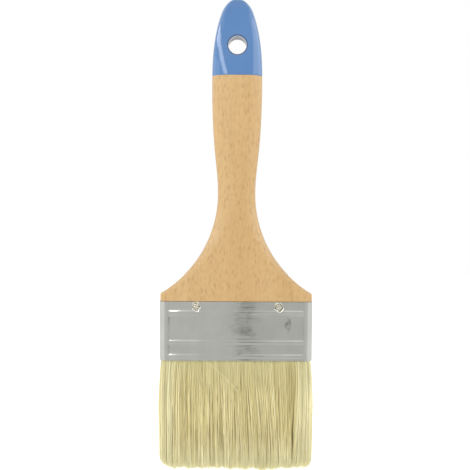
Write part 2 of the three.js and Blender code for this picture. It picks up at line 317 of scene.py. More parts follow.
def shoulder_rings():
    """The rounded corner between the flared shoulders and the collar's sides."""
    rings = []
    for angle in np.radians(np.linspace(0, 90, 7)):
        width = SHOULDER_WIDTH + (COLLAR[0] - SHOULDER_WIDTH) * math.sin(angle)
        depth = SHOULDER_DEPTH + SHOULDER_ROUND * (1 - math.cos(angle))
        rings.append(collar_ring(width, COLLAR[1], TIP_Z - depth))
    return rings


def collar_and_tenon_rings(top):
    """The collar from the height top down, its broken lower edge above the ferrule, and the tenon."""
    foot = FERRULE_TOP + 0.15
    rings = [collar_ring(*COLLAR, z) for z in np.linspace(top, foot + 0.25, 4)]
    for inset, rise in ((0.07, 0.07), (0.25, 0.0)):
        rings.append(collar_ring(COLLAR[0] - inset, COLLAR[1] - inset, foot + rise))
    rings += [collar_ring(*TENON, z, TENON_EDGE) for z in (foot - 0.01, foot - 2, TENON_Z + 0.6)]
    rings.append(collar_ring(TENON[0] - 0.5, TENON[1] - 0.5, TENON_Z, TENON_EDGE - 0.3))
    return rings


def make_handle():
    """The wood: under the lacquer, then bare and a touch inside it, down to the end of the tenon."""
    inset = COAT + COAT_GAP
    covered = [handle_ring(d, inset) for d in tip_depths()[::3]]
    covered.append(handle_ring(DIP_DEPTH - 0.05, inset))
    bare = [handle_ring(d, 0.04, z=TIP_Z - d) for d in np.arange(DIP_DEPTH, SHOULDER_DEPTH, RING_STEP)]
    shoulder = shoulder_rings()
    below = collar_and_tenon_rings(shoulder[-1][0][2] - RING_STEP)
    wood = loft("handle_wood", covered + bare + shoulder + below)
    cut(wood, hole_cutter("cutter", HOLE_RADIUS + inset, CUTTER_REACH))
    return even_normals(wood)


def make_dipped_tip():
    """The lacquer coat: a shell with a thin, slightly wavy lower edge, which also lines the hanging hole."""
    rim = [(0.3, 0.0), (0.12, 0.02), (0.03, 0.06), (0.0, 0.12)]
    rings = [handle_ring(d) for d in tip_depths()]
    rings += [handle_ring(DIP_DEPTH - rise, inset, z=TIP_Z - (DIP_DEPTH - rise)) for rise, inset in rim]
    for ring in rings[-8:]:
        for k, (x, y, z) in enumerate(ring):
            near = smoothstep(6, 0, z - DIP_Z)
            wave = noise.noise(Vector((x * 0.16, y * 0.16, 3.1)))
            ring[k] = (x, y, z + EDGE_WAVE * near * wave)
    outside = loft("dipped_tip_lacquer", rings)
    inner = [handle_ring(d, COAT) for d in tip_depths()[::2]]
    inner += [handle_ring(DIP_DEPTH, COAT), handle_ring(DIP_DEPTH, COAT, z=DIP_Z - 4)]
    inside = loft("cutter_inside", inner)
    cut(inside, hole_cutter("cutter_lining", HOLE_RADIUS + COAT, CUTTER_REACH))
    cut(outside, inside)
    face = np.interp(TIP_Z, THICKNESSES[:, 1], THICKNESSES[:, 0])
    cut(outside, hole_cutter("cutter_hole", HOLE_RADIUS, face + 0.05, fillet=0.7))
    return even_normals(outside, 35)


# ---------------------------------------------------------------- ferrule and nails

def nail_places():
    """Each nail's x, z and side, -1 for the front."""
    places = {}
    for name in NAILS:
        low, high = node_box(name)
        side = -1 if "front" in name else 1
        places[name] = ((low[0] + high[0]) / 2, (low[2] + high[2]) / 2, side)
    return places


def spaced(low, high, step, fine_step, centres, reach):
    """Places from low to high, closer together within reach of each centre."""
    places = [low]
    while places[-1] < high - 1e-6:
        here = places[-1]
        close = any(abs(here - c) < reach for c in centres)
        places.append(min(here + (fine_step if close else step), high))
    if places[-1] - places[-2] < 0.3 * fine_step:
        places.pop(-2)
    return np.array(places)


def noises(x, y, z):
    """Noise at many places. Each coordinate is an array or one number for all."""
    places = np.stack(np.broadcast_arrays(x, y, z), axis=1)
    return np.array([noise.noise(Vector(place)) for place in places.tolist()])


def hump(distance):
    """A smooth rise with its top at distance 0 and its foot at 1."""
    return 0.5 + 0.5 * np.cos(math.pi * np.clip(distance, 0, 1))


def bead_rise(x, z):
    """How far the rolled beads stand out at a point of a face. They are fainter in the middle of the face."""
    total = np.zeros_like(z)
    for number, (depth, half, rise, middle) in enumerate(BEADS):
        end = np.clip((np.abs(x) - (BEAD_END_X - half)) / half, 0, None)
        reach = np.sqrt(((z - FERRULE_TOP + depth) / half) ** 2 + end ** 2)
        crown = hump(reach / 1.15)
        groove = hump(np.abs(z - FERRULE_TOP + depth + GROOVE[0]) / GROOVE[1]) * np.clip(1 - end, 0, 1)
        towards_ends = middle + (1 - middle) * smoothstep(6, 27, np.abs(x)) + 0.25 * smoothstep(27, 34, -x)
        wobble = 1 + 0.3 * noises(x * 0.11, z * 0.05, number + 0.5)
        total += wobble * towards_ends * (rise * crown - GROOVE[2] * groove)
    return total


def dimple_sink(x, z, side):
    """How deep the punched dimples are, each a little out of round."""
    total = np.zeros_like(z)
    for nail_x, nail_z, nail_side in nail_places().values():
        if nail_side == side:
            angle = np.arctan2(z - nail_z, x - nail_x)
            uneven = 1 + 0.10 * np.sin(2 * angle + nail_x) + 0.13 * np.sin(5 * angle - nail_x)
            reach = np.hypot(x - nail_x, z - nail_z) / (DIMPLE_RADIUS * uneven)
            total += DIMPLE_DEPTH * smoothstep(1.05, 0.68, reach)
    return total


def dent(x, z, centre, radius, depth):
    """A shallow oval dent, as a lift below zero."""
    reach = np.hypot((x - centre[0]) / radius[0], (z - centre[1]) / radius[1])
    return -depth * np.clip(1 - reach ** 2, 0, None) ** 1.5


def sheet_waves(x, z, side):
    """The slight unevenness of thin sheet pressed round a handle: broad, middling and fine waves, and a dent.

    A trough runs beside each crease where the face turns into the side, and the crease stands up a little.
    """
    out = 0.10 * noises(x * 0.03, z * 0.06, 7.0 * side)
    out += 0.010 * noises(x * 0.15, z * 0.24, 11.0 * side + 3)
    out += 0.004 * noises(x * 0.3, z * 0.8, 5.0 * side + 8)
    if side < 0:
        out += dent(x, z, DENT_CENTRE, DENT_RADIUS, DENT_DEPTH)
    trough = np.exp(-((np.abs(x) - PANEL_EDGE_X + 2.2) / 1.1) ** 2)
    crease = np.exp(-((np.abs(x) - PANEL_EDGE_X + 0.4) / 0.3) ** 2)
    return out - np.where(x < 0, 0.09, 0.03) * trough + 0.05 * crease


def ferrule_ring(z, xs):
    """The band's outline at a height: front, right side, back and left side, with round corners between."""
    share = (z - FERRULE_BOTTOM) / (FERRULE_TOP - FERRULE_BOTTOM)
    half = FERRULE_HALF_BOTTOM + share * (FERRULE_HALF_TOP - FERRULE_HALF_BOTTOM)
    flat = half - FERRULE_CORNER
    inner = FERRULE_HALF_THICKNESS - FERRULE_CORNER
    face_xs = xs / PANEL_EDGE_X * flat
    side_ys = np.linspace(-1, 1, 12) * inner
    angles = np.radians(np.linspace(0, 90, 13))[1:-1]
    arc = [(FERRULE_CORNER * math.sin(a), FERRULE_CORNER * math.cos(a)) for a in angles]
    ring = [(x, -FERRULE_HALF_THICKNESS) for x in face_xs]
    ring += [(flat + s, -inner - c) for s, c in arc]
    ring += [(half, y) for y in side_ys]
    ring += [(flat + c, inner + s) for s, c in arc]
    ring += [(x, FERRULE_HALF_THICKNESS) for x in reversed(face_xs)]
    ring += [(-flat - s, inner + c) for s, c in arc]
    ring += [(-half, y) for y in reversed(side_ys)]
    ring += [(-flat - c, -inner - s) for s, c in arc]
    return [(x, y, z) for x, y in ring]


def press_faces(points):
    """Forms the beads, dimples, unevenness and lapped seam in the band's faces."""
    x, y, z = points.T
    on_face = smoothstep(FERRULE_HALF_THICKNESS - 1.6, FERRULE_HALF_THICKNESS, np.abs(y))
    side = np.sign(y)
    lift = bead_rise(x, z)
    for face in (-1, 1):
        mask = side == face
        lift[mask] -= dimple_sink(x[mask], z[mask], face)
        lift[mask] += sheet_waves(x[mask], z[mask], face) * smoothstep(0, 2.5, z[mask] - FERRULE_BOTTOM)
    seam = smoothstep(SEAM_HALF_WIDTH + 0.25, SEAM_HALF_WIDTH - 0.25, np.abs(x)) * (side > 0)
    points[:, 1] += side * on_face * (lift + SHEET * seam)


def make_ferrule():
    """The tinplate band. Its mesh is finer at the nails, the seam, the creases and the beads."""
    fine_xs = [x for x, z, side in nail_places().values()]
    fine_xs += [-SEAM_HALF_WIDTH, SEAM_HALF_WIDTH, -PANEL_EDGE_X, PANEL_EDGE_X]
    fine_zs = [FERRULE_TOP - depth for depth, half, rise, middle in BEADS]
    xs = spaced(-PANEL_EDGE_X, PANEL_EDGE_X, step=0.8, fine_step=0.25, centres=fine_xs, reach=2.8)
    zs = spaced(FERRULE_BOTTOM, FERRULE_TOP, step=0.5, fine_step=0.22, centres=fine_zs, reach=2.2)
    rings = np.array([ferrule_ring(z, xs) for z in zs])
    count = rings.shape[1]
    points = rings.reshape(-1, 3)
    press_faces(points)
    faces = []
    for level in range(len(zs) - 1):
        for k in range(count):
            a, b = level * count + k, level * count + (k + 1) % count
            faces.append((a, b, b + count, a + count))
    band = add_object("ferrule_band", points, faces)
    solid = band.modifiers.new("sheet", "SOLIDIFY")
    solid.thickness = SHEET * MM
    solid.offset = -1
    solid.use_even_offset = True
    bpy.context.view_layer.update()
    apply_modifiers(band)
    return even_normals(band, 50)


def make_nail(name):
    """A nail with a cross-cut head, sunk in its dimple."""
    x, z, side = nail_places()[name]
    low, high = node_box(name)
    head_y = (low[1], high[1])[side > 0] * side
    radius, shank = NAIL_HEAD_RADIUS, NAIL_SHANK_RADIUS
    under = head_y - NAIL_HEAD_THICKNESS
    point = under - NAIL_LENGTH
    turn = math.radians(35 + 11 * x)
    profile = [(0, point), (0.15, point + 0.3), (shank, point + 2), (shank, under - 0.1), (0.75, under),
               (radius - 0.12, under), (radius, under + 0.1), (radius, under + 0.3),
               (radius - 0.06, under + 0.42)]
    profile += [(r, under + 0.5) for r in np.linspace(radius - 0.14, 0.06, 26)]
    profile += [(0, under + 0.5)]

    def tooth(distance):
        return 1 - 2 * abs((distance / NAIL_CUT_PITCH) % 1 - 0.5)

    def place(r, height, a):
        dx, dz = r * math.sin(a), r * math.cos(a)
        if height > under + 0.45:
            along = dx * math.cos(turn) + dz * math.sin(turn)
            across = dz * math.cos(turn) - dx * math.sin(turn)
            height += NAIL_CUT_DEPTH * min(tooth(along), tooth(across)) - 0.2
        return (x + dx, side * height, z - side * dz)

    nail = revolved(name + "_steel", profile, 64, place)
    return even_normals(nail, 22)


# ---------------------------------------------------------------- bristles

FRONT, MIDDLE, BACK = -1, 0, 1
ROWS = {"front": FRONT, "middle": MIDDLE, "back": BACK}

# Depth below the ferrule's mouth, and the block's half-width and half-thickness there
BLOCK = np.array([
    (-11, 38.3, 6.5), (-8, 38.6, 6.95), (0, 38.9, 7.3), (3, 39.6, 7.45), (15, 40.15, 7.3),
    (24, 40.4, 7.0), (31, 40.2, 6.7), (47, 40.2, 5.8), (60, 39.9, 5.2),
])
# How far above the lowest tips the bristles are trimmed, along the width
TRIM = np.array([
    (-41, 9.5), (-39.5, 5), (-38, 3.2), (-36, 2), (-34, 1.4), (-32, 1.1), (-5, 1.1), (-3, 0.7), (1, 1.5),
    (5, 0), (9.5, 1.3), (13.5, -0.1), (18, 0.8), (28, 1.3), (32.5, 1.2), (34.5, 1.8), (36.5, 1.4),
    (39, 2.6), (41, 7),
])
TRIM_BASE = 0.8                        # how far below the CAD tuft's end the longest bristles reach
# Where each row lies in the block's thickness, from -1 at the front face to 1 at the back
ROW_AT_MOUTH = {FRONT: (-1.0, -0.575), MIDDLE: (-0.22, 0.22), BACK: (0.575, 1.0)}
ROW_BELOW = {FRONT: (-1.0, -0.36), MIDDLE: (-0.36, 0.36), BACK: (0.36, 1.0)}
GAP_LENGTH = 7.0                       # over which the gaps between the rows close
STRANDS_PER_ROW = {FRONT: 3700, MIDDLE: 1800, BACK: 3300}
BRISTLE_SEED = 40
STRAND_RADIUS = 0.15
STRAND_SIDES = 3
# How far along a strand its points lie, from its top to its tip
STRAND_SHARES = np.array([0, 0.15, 0.22, 0.31, 0.42, 0.56, 0.71, 0.86, 1.0])
GOLDEN_STEP = 0.618034                 # spreads the bristles evenly across the block
CLUMPS_PER_ROW = 96
CLUMP_PULL = 0.8
CLUMP_LEAN = 0.45                      # how far the tips stray sideways, clump by clump
OWN_LEAN = 0.75                        # and bristle by bristle
BOW = 0.3                              # how far a bristle bends out along its way
PARTING_X = 31.2                       # the front bristles on either side lean away from here
PARTING_REACH = 2.5
PARTING_LEAN = 1.1
STRAIGHT_RIGHT = (31.4, 32.4)          # how far out the bristles' wandering fades away at the right end
STRAIGHT_LEFT = (33.0, 35.0)
LEANS = [                              # place across the mouth, and how far sideways its tips have wandered
    (-40, 0.1), (-34, 0.3), (-26, 0.8), (-15, 0.6), (-5, 1.4), (6, 2.6), (16, 2.8), (24, 1.0), (29, -1.2),
    (31.2, -2.2), (34, -1.8), (37, -0.6), (40, 0.1),
]


def block_half(z):
    """Half the block's width and half its thickness at a height."""
    depth = FERRULE_BOTTOM - z
    return np.interp(depth, BLOCK[:, 0], BLOCK[:, 1]), np.interp(depth, BLOCK[:, 0], BLOCK[:, 2])


def lean_at(x):
    """How far sideways the tips of the bristles that start at x have wandered."""
    places, leans = zip(*LEANS)
    return np.interp(x, places, leans)


def tip_height(x, rng):
    """The height of the tips: trimmed nearly square, with rounded corners, ripples and some short hairs."""
    trim = np.interp(x, TRIM[:, 0], TRIM[:, 1])
    ripple = noises(x * 0.5, 5.4, 2.2)
    short = np.abs(rng.normal(0, 0.4, len(x))) + 7 * rng.random(len(x)) ** 10
    return TIPS_Z + trim + 0.4 * ripple + short - TRIM_BASE


def gather_strands(row, across, rng):
    """How each strand leaves its straight course: its clump, the pull to it, its leans and its bow."""
    count = len(across)
    clumps = np.sort(rng.uniform(-1, 1, CLUMPS_PER_ROW))
    clump_of = np.abs(across[:, None] + rng.normal(0, 0.008, (count, 1)) - clumps[None, :]).argmin(1)
    pull = rng.uniform(0.0, 0.5, CLUMPS_PER_ROW)[clump_of]
    clump_lean = rng.normal(0, CLUMP_LEAN, CLUMPS_PER_ROW)[clump_of]
    shift = rng.uniform(-0.1, 0.1, CLUMPS_PER_ROW)[clump_of]
    own_lean = rng.normal(0, OWN_LEAN, count)
    bow = rng.normal(0, BOW, (count, 2))

    start_x = across * block_half(FERRULE_BOTTOM)[0]
    calm = smoothstep(*STRAIGHT_RIGHT, start_x) + smoothstep(*STRAIGHT_LEFT, -start_x)
    clump_lean = clump_lean * (1 - calm)
    own_lean = own_lean * (1 - 0.7 * calm)
    lean = lean_at(start_x)
    if row == FRONT:
        from_parting = start_x - PARTING_X
        beside = np.sign(from_parting) * np.clip(1 - np.abs(from_parting) / PARTING_REACH, 0, 1)
        lean = lean + PARTING_LEAN * beside
        own_lean = own_lean * (1 - 0.8 * np.abs(beside))
        clump_lean = clump_lean * (1 - np.abs(beside))
    return {
        "clump_of": clump_of,
        "clump_at": clumps[clump_of],
        "pull": CLUMP_PULL * pull * (1 - calm),
        "lean": lean + clump_lean + own_lean,
        "shift": shift * (1 - calm),
        "bow": bow * (1 - 0.7 * calm)[:, None],
    }


def level_in_row(row, across, through, z):
    """Where each strand lies in the block's thickness at each of its heights, from -1 at the front to 1."""
    spread = np.clip((FERRULE_BOTTOM + 1 - z) / GAP_LENGTH, 0, 1)
    low = ROW_AT_MOUTH[row][0] * (1 - spread) + ROW_BELOW[row][0] * spread
    high = ROW_AT_MOUTH[row][1] * (1 - spread) + ROW_BELOW[row][1] * spread
    if row == MIDDLE:
        # At the two ends of the block the middle row's strands close off the gaps beside it.
        ends = smoothstep(0.945, 0.955, np.abs(across))[:, None] * (z < FERRULE_BOTTOM + 2)
        low = low * (1 - ends) - 0.9 * ends
        high = high * (1 - ends) + 0.9 * ends
    return low + (high - low) * through[:, None]


def strand_heights(tip_z):
    """The heights of each strand's points: two are the same for all, just above and below the mouth."""
    top = RESIN_BOTTOM + 0.4
    z = top + (tip_z - top)[:, None] * STRAND_SHARES[None, :]
    z[:, 1] = FERRULE_BOTTOM + 1.2
    z[:, 2] = FERRULE_BOTTOM - 2.5
    return z


def make_bristles(name, row, seed):
    """One row of bristles, from the resin down to the trimmed tips."""
    rng = np.random.default_rng(seed)
    count = STRANDS_PER_ROW[row]
    index = np.arange(count)
    across = 2 * ((index * GOLDEN_STEP + rng.uniform(0, 0.003, count)) % 1) - 1
    through = (index + 0.5) / count
    strands = gather_strands(row, across, rng)
    pull = strands["pull"]

    tip_x = (across + (strands["clump_at"] - across) * pull) * block_half(TIPS_Z)[0] + strands["lean"]
    tip_z = tip_height(tip_x, rng) + rng.normal(0, 0.2, CLUMPS_PER_ROW)[strands["clump_of"]]
    z = strand_heights(tip_z)
    out = smoothstep(0, 1, (FERRULE_BOTTOM - z) / (FERRULE_BOTTOM - tip_z)[:, None])
    half_width, half_thickness = block_half(z)
    level = level_in_row(row, across, through, z)
    bows = strands["bow"][:, None, :] * np.sin(out * math.pi)[:, :, None]

    corner = 1 - 0.028 * smoothstep(0.5, 1.0, np.abs(level)) ** 2
    x = across[:, None] * half_width * corner
    x = x + (strands["clump_at"][:, None] * half_width - x) * pull[:, None] * out
    x = x + strands["lean"][:, None] * out + bows[:, :, 0]
    x = np.clip(x, -half_width - STRAND_RADIUS, half_width + STRAND_RADIUS)
    y = (level + strands["shift"][:, None] * out) * half_thickness + bows[:, :, 1]
    y = np.clip(y, -half_thickness, half_thickness)

    taper = np.interp(STRAND_SHARES, [0, 0.6, 1], [1, 0.95, 0.42])
    radius = STRAND_RADIUS * rng.uniform(0.8, 1.25, count)[:, None] * taper
    tone = strand_tones(across * block_half(FERRULE_BOTTOM)[0], rng)
    # Painted shade: front and back row bristles lying deeper in the block are darker, as shade falls between
    # the bristles.
    if row != MIDDLE:
        inward = through if row == FRONT else 1 - through
        tone = np.clip(tone - 0.35 * smoothstep(0.1, 0.4, inward), 0, 1)
    paths = np.stack([x, y, z], axis=2)
    if row == FRONT:
        paths, radius, tone = add_stray(paths, radius, tone)
    return strand_mesh(name, paths, radius, tone, rng)


def strand_tones(x, rng):
    """0 for the darkest bristles, 1 for the palest. The two ends of the block are paler, as painted light,
    and the bristles by the parting darker, as painted shade.
    """
    # Painted light: the bristles at the block's two ends are made paler, standing in for light on them.
    ends = smoothstep(31.5, 33.0, np.abs(x)) * 0.42
    # Painted shade: the bristles beside the parting are darker, standing in for the shade in that gap.
    parting = smoothstep(24.5, 29.0, x) * smoothstep(31.6, 31.0, x) * 0.34
    bands = noises(x * 0.45, 8.0, 4.0) * 0.3
    return np.clip(0.45 + ends - parting + bands + rng.normal(0, 0.18, len(x)), 0, 1)


def add_stray(paths, radius, tone):
    """Adds one pale loose bristle that comes out at the mouth and lies slantwise over the front."""
    share = np.linspace(0, 1, paths.shape[1])
    arch = np.sin(share * math.pi)
    x = -17.2 + 18.4 * share + 0.9 * arch
    z = FERRULE_BOTTOM + 1.5 - 17.5 * share
    y = -(block_half(z)[1] + 0.6) - 0.35 * arch
    y[0] = -7.35                       # inside the ferrule
    stray = np.stack([x, y, z], axis=1)[None]
    stray_radius = np.full((1, paths.shape[1]), 0.17)
    return np.concatenate([paths, stray]), np.concatenate([radius, stray_radius]), np.append(tone, 1.0)


def strand_mesh(name, paths, radius, tone, rng):
    """Closed tapering tubes along the paths, with each strand's tone and place along it as attributes."""
    count, levels, _ = paths.shape
    sides = STRAND_SIDES
    turn = rng.uniform(0, 2 * math.pi, count)
    angles = turn[:, None] + np.arange(sides)[None, :] * 2 * math.pi / sides
    rim = np.stack([np.cos(angles), np.sin(angles), np.zeros_like(angles)], axis=2)
    points = paths[:, :, None, :] + radius[:, :, None, None] * rim[:, None, :, :]
    start = (np.arange(count) * levels * sides)[:, None, None]
    level = (np.arange(levels - 1) * sides)[None, :, None]
    k = np.arange(sides)[None, None, :]
    nxt = (k + 1) % sides
    quads = np.stack([start + level + k, start + level + sides + k,
                      start + level + sides + nxt, start + level + nxt], axis=3).reshape(-1, 4)
    first = start[:, 0] + np.arange(sides)[None, :]
    last = start[:, 0] + (levels - 1) * sides + np.arange(sides)[None, ::-1]
    faces = quads.tolist() + first.tolist() + last.tolist()
    obj = add_object(name, points.reshape(-1, 3), faces)
    along = np.broadcast_to(np.linspace(0, 1, levels)[None, :, None], (count, levels, sides))
    tones = np.broadcast_to(tone[:, None, None], (count, levels, sides))
    for label, values in (("along", along), ("tone", tones)):
        attribute = obj.data.attributes.new(label, "FLOAT", "POINT")
        attribute.data.foreach_set("value", values.astype(np.float32).ravel())
    return obj


# ---------------------------------------------------------------- materials

class Nodes:
    """A material's node tree, with one call for each kind of node it uses."""

    def __init__(self, name):
        self.material = bpy.data.materials.new(name)
        self.material.use_nodes = True
        self.tree = self.material.node_tree
        self.shader = self.tree.nodes["Principled BSDF"]

    def add(self, kind, inputs=(), **settings):
        node = self.tree.nodes.new(kind)
        for key, value in settings.items():
            setattr(node, key, value)
        for key, value in dict(inputs).items():
            self.put(value, node.inputs[key])
        return node

    def put(self, value, socket):
        """Links a socket, or sets a constant."""
        if isinstance(value, bpy.types.NodeSocket):
            self.tree.links.new(value, socket)
        else:
            socket.default_value = value

    def place(self, scale):
        """Object coordinates, scaled per axis in features per metre."""
        coordinates = self.add("ShaderNodeTexCoord").outputs["Object"]
        return self.add("ShaderNodeMapping", {"Vector": coordinates, "Scale": scale}).outputs[0]

    def noise(self, scale, detail=3.0, roughness=0.5):
        inputs = {"Vector": self.place(scale), "Scale": 1.0, "Detail": detail, "Roughness": roughness}
        return self.add("ShaderNodeTexNoise", inputs).outputs["Fac"]

    def ramp(self, value, stops):
        """Colours between stops of (value, colour)."""
        node = self.add("ShaderNodeValToRGB", {"Fac": value})
        elements = node.color_ramp.elements
        while len(elements) < len(stops):
            elements.new(0.5)
        for element, (position, colour) in zip(elements, stops):
            element.position = position
            element.color = (*colour, 1)
        return node.outputs["Color"]

    def range(self, value, low, high, to_low, to_high):
        """Maps low..high to to_low..to_high, and holds the value beyond them."""
        inputs = {"Value": value, "From Min": low, "From Max": high, "To Min": to_low, "To Max": to_high}
        return self.add("ShaderNodeMapRange", inputs).outputs["Result"]

    def math(self, operation, a, b=0.0):
        node = self.add("ShaderNodeMath", operation=operation)
        self.put(a, node.inputs[0])
        self.put(b, node.inputs[1])
        return node.outputs[0]

    def mix(self, factor, a, b):
        """The colour a at factor 0 and b at 1. Each is a socket or an (r, g, b)."""
        node = self.add("ShaderNodeMix", data_type="RGBA")
        for value, key in ((factor, 0), (a, 6), (b, 7)):
            self.put((*value, 1) if isinstance(value, tuple) else value, node.inputs[key])
        return node.outputs[2]

    def bump(self, height, strength, distance):
        inputs = {"Height": height, "Strength": strength, "Distance": distance * MM}
        self.put(self.add("ShaderNodeBump", inputs).outputs["Normal"], self.shader.inputs["Normal"])

    def finish(self, **values):
        """Sets the shader's inputs, named with _ for a space, and returns the material."""
        for key, value in values.items():
            self.put(value, self.shader.inputs[key.replace("_", " ")])
        return self.material


def beech_material():
    """Broad tones, fine fibres, a mottle of cells, and the dark flecks that beech is known by."""
    m = Nodes("beech")
    broad = m.noise((70, 70, 9), 2.0)
    tones = [(0.3, (0.530, 0.335, 0.136)), (0.52, (0.565, 0.368, 0.158)), (0.75, (0.598, 0.400, 0.180))]
    colour = m.ramp(broad, tones)
    fibre = m.noise((900, 900, 35), 4.0, 0.6)
    colour = m.mix(m.range(fibre, 0.35, 0.7, 0.0, 0.5), colour, (0.49, 0.30, 0.118))
    cells = m.noise((1050, 1050, 400), 2.0, 0.55)
    colour = m.mix(m.range(cells, 0.45, 0.68, 0.0, 0.42), colour, (0.42, 0.255, 0.095))
    cell_inputs = {"Vector": m.place((850, 420, 230)), "Scale": 1.0, "Randomness": 1.0}
    flecks = m.add("ShaderNodeTexVoronoi", cell_inputs, feature="F1")
    lot = m.add("ShaderNodeSeparateColor", {"Color": flecks.outputs["Color"]}).outputs[0]
    chosen = m.math("GREATER_THAN", lot, 0.5)
    spot = m.range(flecks.outputs["Distance"], 0.16, 0.42, 1.0, 0.0)
    dark = m.math("MULTIPLY", m.math("MULTIPLY", chosen, spot), 0.42)
    colour = m.mix(dark, colour, (0.33, 0.17, 0.055))
    height = m.math("SUBTRACT", m.math("MULTIPLY", fibre, 0.5), dark)
    m.bump(height, 0.25, 0.05)
    rough = m.range(fibre, 0.3, 0.7, 0.36, 0.48)
    return m.finish(Base_Color=colour, Roughness=rough, Coat_Weight=0.25, Coat_Roughness=0.22)


def lacquer_material():
    """Blue lacquer, with painted shade in a dark ring round the hole's edge, and a painted reflection and
    shade on the hole's wall: pale grey-blue glare at the front, dark towards the back.
    """
    m = Nodes("blue_lacquer")
    cloud = m.noise((60, 60, 28), 2.0)
    colour = m.ramp(cloud, [(0.3, (0.074, 0.177, 0.376)), (0.7, (0.088, 0.197, 0.408))])
    axes = m.add("ShaderNodeSeparateXYZ", {"Vector": m.place((1, 1, 1))})
    in_face = m.add("ShaderNodeCombineXYZ", {"X": axes.outputs["X"], "Z": axes.outputs["Z"]})
    from_hole = m.add("ShaderNodeVectorMath", operation="LENGTH")
    m.put(in_face.outputs[0], from_hole.inputs[0])
    reach = from_hole.outputs["Value"]
    edge = HOLE_RADIUS * MM
    # Painted shade: a near-black ring round the hole's rim, where the edge turns away from the light.
    rim_shade = m.math("MULTIPLY", m.range(reach, edge + 0.05 * MM, edge + 0.2 * MM, 0.0, 1.0),
                    m.range(reach, edge + 0.4 * MM, edge + 0.75 * MM, 1.0, 0.0))
    colour = m.mix(m.math("MULTIPLY", rim_shade, 0.85), colour, (0.012, 0.025, 0.055))
    # Painted reflection and shade on the hole's wall: a pale grey-blue glare near the front, going dark
    # towards the back.
    inside = m.range(reach, edge, edge + 0.12 * MM, 1.0, 0.0)
    towards_back = m.range(axes.outputs["Y"], -1.5 * MM, 0.5 * MM, 0.0, 1.0)
    painted_wall_light = m.mix(towards_back, (0.34, 0.39, 0.47), (0.05, 0.06, 0.08))
    colour = m.mix(m.math("MULTIPLY", inside, 0.85), colour, painted_wall_light)
    ripple = m.noise((330, 330, 190), 2.0, 0.4)
    m.bump(ripple, 0.55, 0.1)
    rough = m.range(m.noise((500, 500, 300), 3.0), 0.3, 0.7, 0.05, 0.1)
    return m.finish(Base_Color=colour, Roughness=rough, Coat_Weight=0.3, Coat_Roughness=0.05)


def tinplate_material():
    """Polished tinned sheet with rolling marks and scratches, and drawn lines round the creased sides."""
    m = Nodes("tinplate")
    mottle = m.noise((110, 110, 110), 3.0, 0.5)
    colour = m.ramp(mottle, [(0.3, (0.86, 0.865, 0.79)), (0.7, (0.93, 0.935, 0.87))])
    rolled = m.noise((45, 400, 900), 3.0, 0.55)
    scratches = m.noise((2400, 300, 90), 5.0, 0.7)
    rough = m.math("ADD", m.range(mottle, 0.3, 0.7, 0.06, 0.09), m.range(scratches, 0.55, 0.8, 0.0, 0.08))
    axes = m.add("ShaderNodeSeparateXYZ", {"Vector": m.place((1, 1, 1))})
    from_middle = m.math("ABSOLUTE", axes.outputs["X"])
    past_crease = m.range(from_middle, (PANEL_EDGE_X - 0.5) * MM, (PANEL_EDGE_X + 0.1) * MM, 0.0, 1.0)
    drawn_lines = m.math("MULTIPLY", m.noise((3200, 1500, 60), 2.0), past_crease)
    height = m.math("ADD", rolled, m.math("MULTIPLY", scratches, 0.12))
    height = m.math("ADD", height, m.math("MULTIPLY", drawn_lines, 0.8))
    m.bump(height, 0.11, 0.05)
    return m.finish(Base_Color=colour, Roughness=rough, Metallic=1.0)


def nail_material():
    m = Nodes("nail_steel")
    grain = m.noise((900, 900, 900), 3.0)
    colour = m.ramp(grain, [(0.3, (0.62, 0.57, 0.45)), (0.7, (0.82, 0.78, 0.68))])
    rough = m.range(grain, 0.3, 0.7, 0.16, 0.34)
    m.bump(grain, 0.15, 0.03)
    return m.finish(Base_Color=colour, Roughness=rough, Metallic=1.0)


def bristle_material():
    """Each bristle by its own tone, with painted shade from the ferrule near its mouth (on all but the
    palest), and pale at the tip, partly the bristles' own paler ends and partly painted light against the
    shade among the tips.
    """
    m = Nodes("bristle")
    tone = m.add("ShaderNodeAttribute", attribute_name="tone").outputs["Fac"]
    along = m.add("ShaderNodeAttribute", attribute_name="along").outputs["Fac"]
    tones = [(0.0, (0.60, 0.505, 0.215)), (0.45, (0.865, 0.77, 0.395)), (1.0, (1.0, 0.95, 0.63))]
    colour = m.ramp(tone, tones)
    streak = m.noise((1500, 1500, 60), 2.0)
    colour = m.mix(m.range(streak, 0.4, 0.75, 0.0, 0.2), colour, (0.66, 0.55, 0.24))
    # Painted shade: the ferrule's shadow on the bristles just below its mouth, left off the palest bristles.
    not_palest = m.range(tone, 0.95, 1.0, 1.0, 0.0)
    ferrule_shade = m.math("MULTIPLY", m.range(along, 0.15, 0.55, 0.75, 0.0), not_palest)
    colour = m.mix(ferrule_shade, colour, (0.73, 0.675, 0.36))
    # Pale tips: the bristles' own paler ends, turned up further as painted light against the shade among the
    # sparse tips.
    colour = m.mix(m.range(along, 0.78, 1.0, 0.0, 1.0), colour, (1.0, 0.945, 0.6))
    rough = m.range(streak, 0.3, 0.7, 0.38, 0.55)
    return m.finish(Base_Color=colour, Roughness=rough, Specular_IOR_Level=0.5)


def resin_material():
    m = Nodes("epoxy")
    cloud = m.noise((180, 180, 180), 3.0)
    colour = m.ramp(cloud, [(0.3, (0.36, 0.20, 0.055)), (0.7, (0.50, 0.31, 0.10))])
    m.bump(cloud, 0.3, 0.2)
    return m.finish(Base_Color=colour, Roughness=m.range(cloud, 0.3, 0.7, 0.2, 0.4))


def spacer_material():
    m = Nodes("spacer_wood")
    grain = m.noise((60, 900, 900), 4.0)
    colour = m.ramp(grain, [(0.3, (0.42, 0.27, 0.12)), (0.7, (0.62, 0.43, 0.22))])
    m.bump(grain, 0.4, 0.1)
    return m.finish(Base_Color=colour, Roughness=m.range(grain, 0.3, 0.7, 0.6, 0.8))


def wear(obj, material):
    """Gives obj the material, in place of any it had."""
    obj.data.materials.clear()
    obj.data.materials.append(material)


# ---------------------------------------------------------------- camera, light and floor

